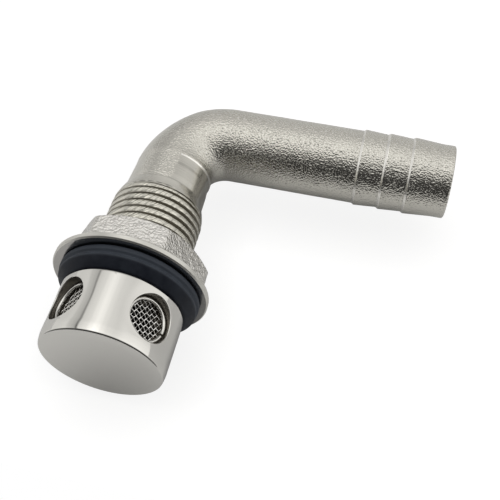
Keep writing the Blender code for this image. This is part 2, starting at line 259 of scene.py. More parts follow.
# G 1/2 thread, its run-out and the nick where the tool was drawn back
THREAD_CREST = 20.955 / 2 * MM
THREAD_PITCH = 25.4 / 14 * MM
THREAD_DEPTH = 0.32 * MM
THREAD_OFF_AXIS = 0.50 * MM
THREAD_LEAST = 0.26 * MM
DEEP_SIDE = math.radians(20.0)
THREAD_ROOT_WIDTH = 0.08 * MM
THREAD_TURN = 0.25
CREST_CURVE = 1.8 * MM
GROOVE_SHADED_FROM = 0.12 * MM
FLANK_SLOPE = math.tan(math.radians(27.5))
THREAD_STEP = THREAD_PITCH / 30
THREAD_SHOWS_Y = -0.6 * MM
RUNOUT_START_Y = 19.6 * MM
RUNOUT_END_Y = 24.4 * MM
LAST_GROOVE_Y = 21.9 * MM
NICK_Y = 21.2 * MM
NICK_DEPTH = 0.62 * MM
NICK_SIDE = math.radians(45.0)
NICK_SLOPE = 0.32

# Neck, turned on its inner side alone
NECK_RADIUS = 9.1 * MM
NECK_END_Y = 32.05 * MM
NECK_RAMP = 0.32 * MM
NECK_TAPER = 0.10 * MM
CASTING_TAPER = 0.3 * MM
CUTTER_SIDE = math.radians(71.0)
CUTTER_RAGGED = math.radians(5.0)
RAGGED_LENGTH = 1.1 * MM
TAPER_START_Y = 26.0 * MM
TAPER_END_Y = 31.0 * MM
NECK_STEPS = 28
UNDERCUT_START_Y = 29.2 * MM
UNDERCUT_RAMP = 0.5 * MM
UNDERCUT = 0.07 * MM

# Elbow
BEND_START_Y = 32.9 * MM
BEND_RADIUS = 12.1 * MM
BEND_STEPS = 64
ELBOW_RADIUS = 9.0 * MM
ELBOW_SHIFT = 0.25 * MM
ELBOW_TUCK = 0.18 * MM
CAST_WAVE = 0.04 * MM
CAST_WAVE_LENGTH = 5.0 * MM
WAVE_FADE = 0.25

# Hose tail and its barbs
TAIL_Y = BEND_START_Y + BEND_RADIUS
TAIL_RADIUS = 8.65 * MM
TAIL_START_X = 12.9 * MM
TAIL_END_X = 63.65 * MM
END_ROUND = 0.4 * MM
END_STEPS = 6
TIP_RADIUS = 8.55 * MM
BARB_RADIUS = 9.0 * MM
BARB_FOOT = 8.65 * MM
BARB_RAMP = 0.5 * MM
BARB_CRESTS = [42.65 * MM, 48.45 * MM, 54.25 * MM]
BARB_SOFT = 0.05 * MM
BEFORE_BARBS = 1.6 * MM
AFTER_BARBS = 0.6 * MM
BARB_STEP = 0.08 * MM
PLAIN_STEP = 0.5 * MM
LEAST_STEP = 0.05 * MM
TIP_LENGTH = 3.0 * MM

# Bore
BORE_RADIUS = 6.5 * MM
BORE_CHAMFER = 0.35 * MM
BORE_TAIL_STEPS = 24
BORE_BEND_STEPS = 32
BORE_SHANK_STEPS = 16

# Skins, in the order of the casting's materials. Groove and inside: painted shade; ramp: painted
# highlight.
BLASTED, TURNED, CORED, SHADED_GROOVE, CREST, PAINTED_HIGHLIGHT = range(6)
DIMPLE = 0.35 * MM
BETWEEN_DIMPLES = 0.8
BLAST_RELIEF = 0.1 * MM
RUBBED_FROM_X = -6.0 * MM
RUBBED_TO_X = 2.0 * MM
RUBBED_SHARE = 0.85
STREAK_TO_RING = 10.0
BLASTED_COLOUR = (0.60, 0.585, 0.54)
RUBBED_COLOUR = (0.68, 0.665, 0.62)
TURNED_COLOUR = (0.61, 0.595, 0.55)
CREST_COLOUR = (0.70, 0.68, 0.61)
RAMP_HIGHLIGHT_COLOUR = (0.86, 0.845, 0.81)
GROOVE_SHADE_COLOUR = (0.24, 0.225, 0.19)
CORED_SHADE_COLOUR = (0.14, 0.133, 0.12)


def finish_mesh(name, mesh, materials, sharp_degrees=35.0, weld=False):
    """Turns a mesh's faces outward, shades it smooth up to its sharp edges and shows it."""
    shape = bmesh.new()
    shape.from_mesh(mesh)
    if weld:
        bmesh.ops.remove_doubles(shape, verts=shape.verts, dist=WELD_DISTANCE)
    bmesh.ops.recalc_face_normals(shape, faces=shape.faces)
    shape.to_mesh(mesh)
    shape.free()
    mesh.shade_smooth()
    mesh.set_sharp_from_angle(angle=math.radians(sharp_degrees))
    for material in materials:
        mesh.materials.append(material)
    made = bpy.data.objects.new(name, mesh)
    bpy.context.scene.collection.objects.link(made)
    return made


def loft(name, rings, slots):
    """A closed skin through rings of points, the last ring joined to the first. slots gives the
    material number of the faces after each ring, or one for each face there."""
    sides = len(rings[0])
    points = [point for ring in rings for point in ring]
    faces = []
    numbers = []
    for row in range(len(rings)):
        here = row * sides
        there = (row + 1) % len(rings) * sides
        for k in range(sides):
            after = (k + 1) % sides
            faces.append((here + k, here + after, there + after, there + k))
            numbers.append(slots[row][k] if isinstance(slots[row], list) else slots[row])
    mesh = bpy.data.meshes.new(name)
    mesh.from_pydata(points, [], faces)
    mesh.polygons.foreach_set("material_index", numbers)
    return mesh


def angles(sides):
    return [math.tau * k / sides for k in range(sides)]


def ring_at(centre, inward, radii):
    """Points round a centre in the elbow's plane. Angle 0 points to the inner side of the bend."""
    points = []
    for angle, radius in zip(angles(len(radii)), radii):
        across = radius * math.cos(angle)
        x = centre[0] + inward[0] * across
        y = centre[1] + inward[1] * across
        points.append((x, y, radius * math.sin(angle)))
    return points


def casting_radius(angle):
    """The casting's radius about the shank's axis, which it misses by a little."""
    across = ELBOW_SHIFT * math.sin(angle)
    return ELBOW_SHIFT * math.cos(angle) + math.sqrt(ELBOW_RADIUS**2 - across**2)


def thread_cut(y, angle):
    """How deep a right-hand thread is cut below its wide crest. The lathe's axis lay a little off
    the casting's, so one side is cut deeper. The tool left a nick where it was drawn back."""
    turn = (y / THREAD_PITCH + angle / math.tau - THREAD_TURN) % 1.0
    from_root = min(turn, 1.0 - turn) * THREAD_PITCH
    left = min(max((LAST_GROOVE_Y - y) / (LAST_GROOVE_Y - RUNOUT_START_Y), 0.0), 1.0)
    deep_side = math.cos(angle - DEEP_SIDE)
    depth = max(THREAD_DEPTH + THREAD_OFF_AXIS * deep_side, THREAD_LEAST) * math.sqrt(left)
    groove = depth - max(from_root - THREAD_ROOT_WIDTH / 2, 0.0) / FLANK_SLOPE
    crest = left * (THREAD_PITCH / 2 - from_root) ** 2 / (2 * CREST_CURVE)
    nick = NICK_DEPTH * math.cos(angle - NICK_SIDE) - abs(y - NICK_Y) / NICK_SLOPE
    return max(groove, crest, nick, 0.0)


def runout_radius(y):
    part = min(max((y - RUNOUT_START_Y) / (RUNOUT_END_Y - RUNOUT_START_Y), 0.0), 1.0)
    return THREAD_CREST - part**1.5 * (THREAD_CREST - turned_radius(y))


def thicker(y):
    """The neck and the casting thicken a little towards the thread: 1 there, 0 at the elbow."""
    return min(max((TAPER_END_Y - y) / (TAPER_END_Y - TAPER_START_Y), 0.0), 1.0)


def turned_radius(y):
    deeper = min(max((y - UNDERCUT_START_Y) / UNDERCUT_RAMP, 0.0), 1.0)
    return NECK_RADIUS + NECK_TAPER * thicker(y) - UNDERCUT * deeper


def cast_radius(y, angle):
    outer_side = (1 - math.cos(angle)) / 2
    return casting_radius(angle) + CASTING_TAPER * outer_side * thicker(y)


def reached(y, angle):
    """Whether the lathe's cutter reached the casting: only on the side where it stands proud."""
    from_inner = min(angle, math.tau - angle)
    spot = Vector((y, NECK_RADIUS * math.cos(angle), NECK_RADIUS * math.sin(angle)))
    return from_inner < CUTTER_SIDE + CUTTER_RAGGED * noise.noise(spot / RAGGED_LENGTH)


def wavy(radius, centre, angle):
    """Cast skin is never quite even, so it sinks a little here and there."""
    across = Vector((0, math.cos(angle), math.sin(angle)))
    spot = Vector((centre[0], centre[1], 0)) + radius * across
    swell = noise.noise(spot / CAST_WAVE_LENGTH) + 0.5 * noise.noise(spot * 2.7 / CAST_WAVE_LENGTH)
    return radius - CAST_WAVE * min(max(0.5 + 0.5 * swell, 0.0), 1.0)


def shank_rings():
    """Spigot, thread, run-out and turned neck, with the slot of each stretch of faces."""
    rings, slots = [], []
    for y, radius in (
        (SPIGOT_END_Y, SPIGOT_RADIUS),
        (SHOULDER_Y - 0.02 * MM, SPIGOT_RADIUS),
        (SHOULDER_Y, THREAD_CREST - SHOULDER_STEP),
        (SHOULDER_Y + SHOULDER_CHAMFER, THREAD_CREST),
    ):
        rings.append(ring_at((0, y), (1, 0), [radius] * BODY_SIDES))
        slots.append(TURNED)
    count = int((RUNOUT_END_Y - THREAD_SHOWS_Y) / THREAD_STEP)
    for i in range(count + 1):
        y = THREAD_SHOWS_Y + i * THREAD_STEP
        radii, numbers = [], []
        for angle in angles(BODY_SIDES):
            core = min(turned_radius(y), cast_radius(y, angle))
            cut = thread_cut(y, angle)
            radii.append(max(core, runout_radius(y) - cut))
            skin = CREST if y < NICK_Y else TURNED
            # Where the cut is deep enough, the thread takes the dark groove colour: painted shade
            # in its root.
            numbers.append(SHADED_GROOVE if cut > GROOVE_SHADED_FROM else skin)
        rings.append(ring_at((0, y), (1, 0), radii))
        slots.append(numbers)
    for i in range(1, NECK_STEPS + 1):
        y = RUNOUT_END_Y + (NECK_END_Y - RUNOUT_END_Y) * i / NECK_STEPS
        radii, numbers = [], []
        for angle in angles(BODY_SIDES):
            cast = cast_radius(y, angle)
            cut = reached(y, angle)
            radii.append(min(turned_radius(y), cast) if cut else cast)
            # The neck's last ring takes the ramp's painted highlight.
            skin = TURNED if i < NECK_STEPS else PAINTED_HIGHLIGHT
            numbers.append(skin if cut else BLASTED)
        rings.append(ring_at((0, y), (1, 0), radii))
        slots.append(numbers)
    return rings, slots


def elbow_rings():
    """Rings round the bend, which is a little slimmer in its first two thirds."""
    rings = []
    for y in (NECK_END_Y + NECK_RAMP, (NECK_END_Y + NECK_RAMP + BEND_START_Y) / 2):
        rings.append(ring_at((0, y), (1, 0), [casting_radius(a) for a in angles(BODY_SIDES)]))
    for i in range(BEND_STEPS + 1):
        part = i / BEND_STEPS
        turn = math.pi / 2 * part
        radius = ELBOW_RADIUS + (TAIL_RADIUS - ELBOW_RADIUS) * math.sqrt(part)
        tuck = ELBOW_TUCK * max(math.sin(3 * turn), 0.0)
        radius -= tuck
        centre = (
            ELBOW_SHIFT * (1 - part) + BEND_RADIUS - (BEND_RADIUS - tuck) * math.cos(turn),
            BEND_START_Y + (BEND_RADIUS - tuck) * math.sin(turn),
        )
        wave = min(part / WAVE_FADE, 1.0)
        radii = [radius + wave * (wavy(radius, centre, a) - radius) for a in angles(BODY_SIDES)]
        rings.append(ring_at(centre, (math.cos(turn), -math.sin(turn)), radii))
    return rings


def tail_radius(x):
    """The tail's profile: a plain stretch, three barbs that slope down to the end, and the tip.
    Each barb starts with a short steep ramp."""
    points = [(0.0, TAIL_RADIUS)]
    for number, crest in enumerate(BARB_CRESTS):
        points.append((crest - BARB_RAMP, TAIL_RADIUS if number == 0 else BARB_FOOT))
        points.append((crest, BARB_RADIUS))
    points.append((TAIL_END_X - TIP_LENGTH, TIP_RADIUS))
    points.append((TAIL_END_X, TIP_RADIUS))
    for (x0, r0), (x1, r1) in zip(points, points[1:]):
        if x <= x1:
            return r0 + (r1 - r0) * (x - x0) / (x1 - x0)
    return TIP_RADIUS


def tail_rings():
    places = [TAIL_START_X]
    while places[-1] < TAIL_END_X - END_ROUND - LEAST_STEP:
        fine = BARB_CRESTS[0] - BEFORE_BARBS < places[-1] < BARB_CRESTS[-1] + AFTER_BARBS
        step = BARB_STEP if fine else PLAIN_STEP
        places.append(min(places[-1] + step, TAIL_END_X - END_ROUND))
    rings, slots = [], []
    for x in places:
        radius = (tail_radius(x - BARB_SOFT) + tail_radius(x) + tail_radius(x + BARB_SOFT)) / 3
        radii = [wavy(radius, (x, TAIL_Y), a) for a in angles(BODY_SIDES)]
        rings.append(ring_at((x, TAIL_Y), (0, -1), radii))
        # The barbs' ramps take the painted highlight.
        ramp = any(crest - BARB_RAMP <= x < crest for crest in BARB_CRESTS)
        slots.append(PAINTED_HIGHLIGHT if ramp else BLASTED)
    for i in range(1, END_STEPS + 1):
        turn = math.pi / 2 * i / END_STEPS
        x = TAIL_END_X - END_ROUND + END_ROUND * math.sin(turn)
        radius = TIP_RADIUS - END_ROUND + END_ROUND * math.cos(turn)
        radii = [wavy(radius, (x, TAIL_Y), a) for a in angles(BODY_SIDES)]
        rings.append(ring_at((x, TAIL_Y), (0, -1), radii))
        slots.append(BLASTED)
    return rings, slots


def bore_rings():
    """The inside, from the tail's open end back to the spigot."""
    plain = [BORE_RADIUS] * BODY_SIDES
    mouth = [BORE_RADIUS + BORE_CHAMFER] * BODY_SIDES
    rings = [ring_at((TAIL_END_X, TAIL_Y), (0, -1), mouth)]
    start = TAIL_END_X - BORE_CHAMFER
    for i in range(BORE_TAIL_STEPS):
        x = start - (start - BEND_RADIUS) * i / BORE_TAIL_STEPS
        rings.append(ring_at((x, TAIL_Y), (0, -1), plain))
    for i in range(BORE_BEND_STEPS + 1):
        turn = math.pi / 2 * (1 - i / BORE_BEND_STEPS)
        centre = (
            BEND_RADIUS - BEND_RADIUS * math.cos(turn),
            BEND_START_Y + BEND_RADIUS * math.sin(turn),
        )
        rings.append(ring_at(centre, (math.cos(turn), -math.sin(turn)), plain))
    for i in range(1, BORE_SHANK_STEPS + 1):
        y = BEND_START_Y + (SPIGOT_END_Y - BEND_START_Y) * i / BORE_SHANK_STEPS
        rings.append(ring_at((0, y), (1, 0), plain))
    return rings


def spread(tree, value, low, high, start=0.3, end=0.7):
    """The value's range from start to end made low to high."""
    inputs = {"Value": value, "From Min": start, "From Max": end, "To Min": low, "To Max": high}
    return add_node(tree, "ShaderNodeMapRange", inputs).outputs["Result"]


def make_grain():
    """The grain that most skins here have in some size: its mask, a roughness that goes with it
    and its relief. Stretch draws the grains out into lines where it is less than 1."""
    group = bpy.data.node_groups.new("grain", "ShaderNodeTree")
    for name, kind, usual in (
        ("Size", "NodeSocketFloat", 0.5 * MM),
        ("Stretch", "NodeSocketVector", (1.0, 1.0, 1.0)),
        ("Detail", "NodeSocketFloat", 2.0),
        ("Fine Share", "NodeSocketFloat", 0.5),
        ("Smoothest", "NodeSocketFloat", 0.2),
        ("Roughest", "NodeSocketFloat", 0.3),
        ("Relief", "NodeSocketFloat", 0.01 * MM),
    ):
        socket = group.interface.new_socket(name, in_out="INPUT", socket_type=kind)
        socket.default_value = usual
    group.interface.new_socket("Mask", in_out="OUTPUT", socket_type="NodeSocketFloat")
    group.interface.new_socket("Roughness", in_out="OUTPUT", socket_type="NodeSocketFloat")
    group.interface.new_socket("Normal", in_out="OUTPUT", socket_type="NodeSocketVector")
    given = group.nodes.new("NodeGroupInput").outputs
    place = add_node(group, "ShaderNodeTexCoord").outputs["Object"]
    inputs = {0: place, 1: given["Stretch"]}
    drawn = add_node(group, "ShaderNodeVectorMath", inputs, operation="MULTIPLY").outputs[0]
    inputs = {"Vector": drawn, "Scale": math_node(group, "DIVIDE", 1.0, given["Size"])}
    inputs.update({"Detail": given["Detail"], "Roughness": given["Fine Share"]})
    mask = add_node(group, "ShaderNodeTexNoise", inputs).outputs["Fac"]
    rough = spread(group, mask, given["Smoothest"], given["Roughest"])
    bump = add_node(group, "ShaderNodeBump", {"Height": mask, "Distance": given["Relief"]})
    results = {"Mask": mask, "Roughness": rough, "Normal": bump.outputs[0]}
    add_node(group, "NodeGroupOutput", results)
    return group


grain = make_grain()


def grained(tree, size, **values):
    """Places the grain in a material, with its own values, and gives its outputs."""
    placed = add_node(tree, "ShaderNodeGroup", node_tree=grain)
    placed.inputs["Size"].default_value = size
    for name, value in values.items():
        placed.inputs[name.replace("_", " ").title()].default_value = value
    return placed.outputs


def steel(name, colour):
    """A metal material, and its tree and shader to add to."""
    material = bpy.data.materials.new(name)
    material.use_nodes = True
    tree = material.node_tree
    shader = tree.nodes["Principled BSDF"]
    shader.inputs["Base Color"].default_value = (*colour, 1.0)
    shader.inputs["Metallic"].default_value = 1.0
    return material, tree, shader


def cover(tree, shader, rough, relief=None):
    """Takes the roughness from one placed grain, and the relief from that one or another."""
    if relief is None:
        relief = rough
    tree.links.new(rough["Roughness"], shader.inputs["Roughness"])
    tree.links.new(relief["Normal"], shader.inputs["Normal"])


def tinted(tree, value, first, second):
    made = add_node(tree, "ShaderNodeMix", data_type="RGBA")
    tree.links.new(value, made.inputs[0])
    made.inputs[6].default_value = (*first, 1.0)
    made.inputs[7].default_value = (*second, 1.0)
    return made.outputs[2]


def rough_up(tree, shader, height, distance):
    bump = add_node(tree, "ShaderNodeBump", {"Height": height, "Distance": distance})
    tree.links.new(bump.outputs[0], shader.inputs["Normal"])


def blasted_steel():
    """Cast stainless after bead blasting: packed dimples that sparkle one by one. The outer side
    of the neck was rubbed down, which left fine lines round it."""
    material, tree, shader = steel("blasted_stainless", BLASTED_COLOUR)
    place = add_node(tree, "ShaderNodeTexCoord").outputs["Object"]
    dimples = add_node(tree, "ShaderNodeTexVoronoi", {"Vector": place, "Scale": 1 / DIMPLE})
    hollow = math_node(tree, "POWER", dimples.outputs["Distance"], 2.0)
    between = grained(tree, 0.4 * MM, detail=0.0)["Mask"]
    between = math_node(tree, "MULTIPLY", between, BETWEEN_DIMPLES)
    blasted = math_node(tree, "ADD", hollow, between)
    across = add_node(tree, "ShaderNodeSeparateXYZ", {0: place}).outputs["X"]
    rubbed = spread(tree, across, RUBBED_SHARE, 0.0, start=RUBBED_FROM_X, end=RUBBED_TO_X)
    left = math_node(tree, "SUBTRACT", 1.0, rubbed)
    blasted = math_node(tree, "MULTIPLY", blasted, left)
    lines = grained(tree, 0.34 * MM, detail=1.0, stretch=(0.12, 1.0, 0.12))["Mask"]
    lines = math_node(tree, "MULTIPLY", lines, math_node(tree, "MULTIPLY", rubbed, 0.5))
    rough_up(tree, shader, math_node(tree, "ADD", blasted, lines), BLAST_RELIEF)
    colour = tinted(tree, rubbed, BLASTED_COLOUR, RUBBED_COLOUR)
    tree.links.new(colour, shader.inputs["Base Color"])
    uneven = grained(tree, 3 * MM, smoothest=0.05, roughest=0.10)
    tree.links.new(uneven["Roughness"], shader.inputs["Roughness"])
    return material


def slanting_marks(tree, size):
    """The marks of a chattering tool, slanting across the shank's upper side."""
    place = add_node(tree, "ShaderNodeTexCoord").outputs["Object"]
    axes = add_node(tree, "ShaderNodeSeparateXYZ", {0: place})
    round_it = math_node(tree, "SUBTRACT", axes.outputs["X"], axes.outputs["Z"])
    slant = math_node(tree, "SUBTRACT", round_it, axes.outputs["Y"])
    steps = math_node(tree, "MULTIPLY", slant, 1 / size)
    inputs = {"W": steps, "Scale": 1.0, "Detail": 0.0}
    marks = add_node(tree, "ShaderNodeTexNoise", inputs, noise_dimensions="1D")
    return marks.outputs["Fac"]


def turned_steel():
    """The neck, cut on a lathe: fine rings, and soft streaks along it where the tool shook."""
    material, tree, shader = steel("turned_stainless", TURNED_COLOUR)
    rings = grained(tree, 0.22 * MM, detail=1.0, stretch=(0.02, 1.0, 0.02))["Mask"]
    along = (1.0, 0.12, 1.0)
    streaks = grained(tree, 2.6 * MM, detail=1.0, stretch=along, smoothest=0.16, roughest=0.26)
    waves = math_node(tree, "MULTIPLY", streaks["Mask"], STREAK_TO_RING)
    rough_up(tree, shader, math_node(tree, "ADD", rings, waves), 0.012 * MM)
    tree.links.new(streaks["Roughness"], shader.inputs["Roughness"])
    return material


def crest_steel():
    """The thread's crests, warm from the cut, with slanting chatter across them."""
    material, tree, shader = steel("crest_stainless", CREST_COLOUR)
    chatter = slanting_marks(tree, 0.42 * MM)
    rough_up(tree, shader, chatter, 0.24 * MM)
    tree.links.new(spread(tree, chatter, 0.14, 0.26), shader.inputs["Roughness"])
    return material


def highlight_steel():
    """The edges that stand proud, the barbs' ramps and the neck's end: a painted highlight."""
    material, tree, shader = steel("ramp_painted_highlight", RAMP_HIGHLIGHT_COLOUR)
    relief = 0.05 * MM
    rubbed = grained(tree, 0.45 * MM, detail=1.0, smoothest=0.16, roughest=0.30, relief=relief)
    cover(tree, shader, rubbed)
    return material


def groove_shade_steel():
    """The bottom of the thread, torn and dull, and dark with painted shade in the root."""
    material, tree, shader = steel("groove_painted_shade", GROOVE_SHADE_COLOUR)
    cover(tree, shader, grained(tree, 0.4 * MM, smoothest=0.28, roughest=0.44, relief=0.02 * MM))
    return material


def bore_shade_steel():
    """The inside of the casting and of the head, rough and dull, and dark with painted shade."""
    material, tree, shader = steel("cored_painted_shade", CORED_SHADE_COLOUR)
    uneven = grained(tree, 4 * MM, smoothest=0.5, roughest=0.7)
    cover(tree, shader, uneven, relief=grained(tree, 0.7 * MM, detail=3.0, relief=0.2 * MM))
    return material


cored_shade_metal = bore_shade_steel()


def make_casting():
    shank, slots = shank_rings()
    elbow = elbow_rings()
    tail, tail_slots = tail_rings()
    inside = bore_rings()
    slots += [BLASTED] * len(elbow) + tail_slots + [CORED] * len(inside)
    mesh = loft("casting", shank + elbow + tail + inside, slots)
    materials = [blasted_steel(), turned_steel(), cored_shade_metal]
    materials += [groove_shade_steel(), crest_steel(), highlight_steel()]
    casting = finish_mesh("casting", mesh, materials)
    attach(casting, "vent")
    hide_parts("vent_body")


make_casting()

# The head is a deep cup turned from bar, drilled across for four windows and buffed to a mirror.
# The buffing wheel has softened the window edges and the edge of the face. It is pressed on the
# shank's spigot, and each window is stepped to seat a screen.
HEAD_RADIUS = 13.3 * MM
FACE_Y = RIM_Y - 14.0 * MM
BUFFED_TURN = math.radians(14.0)
BUFFED_SIZE = 8.0 * MM
BUFFED_STEPS = 6
CORNER_SIZE = 0.35 * MM
CORNER_STEPS = 8
EDGE_DEPTH = BUFFED_SIZE * math.sin(BUFFED_TURN) + CORNER_SIZE * (1 - math.sin(BUFFED_TURN))
FACE_WALL = 2.2 * MM
RIM_BREAK = 0.25 * MM
RIM_ROUND = 0.07 * MM
SOCKET_RADIUS = 8.5 * MM
CHAMBER_RADIUS = 7.8 * MM
CHAMBER_TOP_Y = SPIGOT_END_Y - 0.02 * MM
WINDOW_COUNT = 4
WINDOW_TURN = math.radians(42.4)
WINDOW_Y = RIM_Y - 6.2 * MM
WINDOW_RADIUS = 4.95 * MM
PORT_RADIUS = 3.9 * MM
PORT_END_DISTANCE = 8.4 * MM
SEAT_DISTANCE = 9.6 * MM
EDGE_ROUND = 0.24 * MM
BUFF_DIP = 0.10 * MM
BUFF_REACH = 1.5 * MM
PATCH_ROWS = 30
PATCH_COLUMNS = 22
PATCH_STEPS = 20
PATCH_CROWDING = 1.7
EDGE_STEPS = 6
WALL_PARTS = (0.35, 0.7, 1.0)
INNER_STEPS = 6
POLISHED, DRILLED, INSIDE = range(3)
POLISHED_COLOUR = (0.66, 0.65, 0.625)
# Dark colour of the drilled walls: painted shade in the windows
DRILLED_SHADE_COLOUR = (0.23, 0.215, 0.19)


def window_frame(number):
    """The turn of one window: sideways, towards the face and outward."""
    azimuth = WINDOW_TURN + math.tau * number / WINDOW_COUNT
    outward = (math.cos(azimuth), 0.0, math.sin(azimuth))
    sideways = (-math.sin(azimuth), 0.0, math.cos(azimuth))
    turn = Matrix((sideways, (0.0, -1.0, 0.0), outward)).transposed()
    return Matrix.Translation((0.0, WINDOW_Y, 0.0)) @ turn.to_4x4()


def patch_border(top, bottom):
    """(turn, height) points round a quarter of a cylinder, whose heights grow towards the face."""
    quarter = math.pi / 4
    points = []
    for i in range(PATCH_ROWS):
        points.append((-quarter + 2 * quarter * i / PATCH_ROWS, top))
    for i in range(PATCH_COLUMNS):
        points.append((quarter, top + (bottom - top) * i / PATCH_COLUMNS))
    for i in range(PATCH_ROWS):
        points.append((quarter - 2 * quarter * i / PATCH_ROWS, bottom))
    for i in range(PATCH_COLUMNS):
        points.append((-quarter, bottom + (top - bottom) * i / PATCH_COLUMNS))
    return points


def buffed(across, along):
    """The distance of the polished skin from the head's axis, lower round a window's edge."""
    beyond = math.hypot(across, along) - WINDOW_RADIUS
    return HEAD_RADIUS - BUFF_DIP * math.exp(-((max(beyond, 0.0) / BUFF_REACH) ** 2))


def window_rings():
    """Rings of one window, from the patch border over the soft edge, down the wall and the step
    into the chamber, then out to the border of the chamber's own patch."""
    outer = patch_border(-(RIM_Y - RIM_BREAK - WINDOW_Y), WINDOW_Y - FACE_Y - EDGE_DEPTH)
    inner = patch_border(WINDOW_Y - CHAMBER_TOP_Y, WINDOW_Y - FACE_Y - FACE_WALL)
    lip = WINDOW_RADIUS + EDGE_ROUND
    rings = []
    for step in range(PATCH_STEPS + 1):
        part = (step / PATCH_STEPS) ** PATCH_CROWDING
        ring = []
        for turn, along in outer:
            heading = math.atan2(along, turn * HEAD_RADIUS)
            near_turn = math.asin(lip * math.cos(heading) / HEAD_RADIUS)
            near_along = lip * math.sin(heading)
            turn_here = near_turn + (turn - near_turn) * part
            along_here = near_along + (along - near_along) * part
            out = buffed(HEAD_RADIUS * math.sin(turn_here), along_here)
            ring.append((out * math.sin(turn_here), along_here, out * math.cos(turn_here)))
        rings.append(ring)
    rings.reverse()
    headings = [math.atan2(along, turn * HEAD_RADIUS) for turn, along in outer]
    for i in range(1, EDGE_STEPS + 1):
        bend = math.pi / 2 * i / EDGE_STEPS
        radius = WINDOW_RADIUS + EDGE_ROUND * (1 - math.sin(bend))
        ring = []
        for heading in headings:
            across, along = radius * math.cos(heading), radius * math.sin(heading)
            out = buffed(across, along)
            height = math.sqrt(out**2 - across**2) - EDGE_ROUND * (1 - math.cos(bend))
            ring.append((across, along, height))
        rings.append(ring)
    edge = rings[-1]
    for part in WALL_PARTS:
        rings.append([(x, y, z + (SEAT_DISTANCE - z) * part) for x, y, z in edge])
    port = [(PORT_RADIUS * math.cos(h), PORT_RADIUS * math.sin(h)) for h in headings]
    for height in (SEAT_DISTANCE, PORT_END_DISTANCE):
        rings.append([(x, y, height) for x, y in port])
    for step in range(INNER_STEPS + 1):
        part = step / INNER_STEPS
        ring = []
        for (turn, along), heading in zip(inner, headings):
            near_turn = math.asin(PORT_RADIUS * math.cos(heading) / CHAMBER_RADIUS)
            near_along = PORT_RADIUS * math.sin(heading)
            turn_here = near_turn + (turn - near_turn) * part
            along_here = near_along + (along - near_along) * part
            across = CHAMBER_RADIUS * math.sin(turn_here)
            ring.append((across, along_here, CHAMBER_RADIUS * math.cos(turn_here)))
        rings.append(ring)
    return rings


def face_outline():
    """The buffed side leaning in to the face, the tight corner and the flat face."""
    points = []
    for i in range(BUFFED_STEPS + 1):
        lean = BUFFED_TURN * i / BUFFED_STEPS
        drop = BUFFED_SIZE * (1 - math.cos(lean))
        points.append((HEAD_RADIUS - drop, FACE_Y + EDGE_DEPTH - BUFFED_SIZE * math.sin(lean)))
    corner_radius = points[-1][0] - CORNER_SIZE * math.cos(BUFFED_TURN)
    for i in range(1, CORNER_STEPS + 1):
        lean = BUFFED_TURN + (math.pi / 2 - BUFFED_TURN) * i / CORNER_STEPS
        radius = corner_radius + CORNER_SIZE * math.cos(lean)
        points.append((radius, FACE_Y + CORNER_SIZE * (1 - math.sin(lean))))
    for part in (0.8, 0.6, 0.4, 0.2, 0.0):
        points.append((corner_radius * part, FACE_Y))
    return points


def turned_rings(outline, sides, start):
    """Rings round the shank's axis through (radius, y) points."""
    rings = []
    for radius, y in outline:
        ring = []
        for angle in angles(sides):
            ring.append((radius * math.cos(start + angle), y, radius * math.sin(start + angle)))
        rings.append(ring)
    return rings


def polished_steel():
    """Buffed to a mirror, with the faint sweep of the wheel left in it."""
    material, tree, shader = steel("polished_stainless", POLISHED_COLOUR)
    along = (1.0, 0.3, 1.0)
    sweep = grained(tree, 2.2 * MM, detail=1.0, stretch=along, relief=0.006 * MM)
    along = (1.0, 0.2, 1.0)
    haze = grained(tree, 0.5 * MM, detail=3.0, stretch=along, smoothest=0.045, roughest=0.09)
    cover(tree, shader, haze, relief=sweep)
    return material


def drilled_shade_steel():
    """The stepped wall of a window, drilled and left dull, and dark with painted shade."""
    material, tree, shader = steel("drilled_painted_shade", DRILLED_SHADE_COLOUR)
    cover(tree, shader, grained(tree, 0.25 * MM, smoothest=0.28, roughest=0.42, relief=0.02 * MM))
    return material


